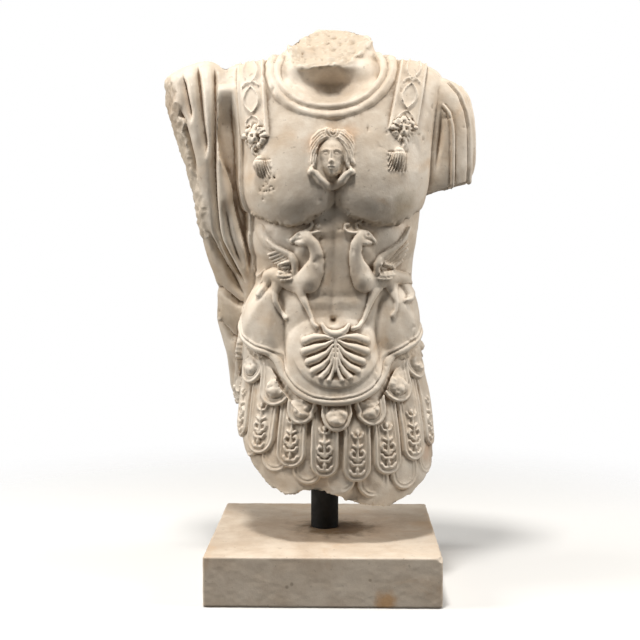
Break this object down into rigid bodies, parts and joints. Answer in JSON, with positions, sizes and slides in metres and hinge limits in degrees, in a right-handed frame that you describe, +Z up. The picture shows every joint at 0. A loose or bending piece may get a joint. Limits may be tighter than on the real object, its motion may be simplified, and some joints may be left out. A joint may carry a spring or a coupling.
{
  "type": "marble torso statue",
  "caption": "Headless marble torso in a carved muscle cuirass and cloak, held by a short steel post above a square marble plinth.",
  "frame": {"origin": "centre of the plinth's underside", "axes": "+Z up, +X to the viewer's right, -Y towards the viewer of the carved front"},
  "size_m": [0.5664, 0.406, 1.0091],
  "materials": {
    "torso_marble": "weathered, warm white",
    "post_steel": "matt black",
    "plinth_marble": "honed, stained"
  },
  "bodies": {
    "root": {"torso": "torso_marble", "post": "post_steel", "plinth": "plinth_marble"}
  },
  "joints": []
}
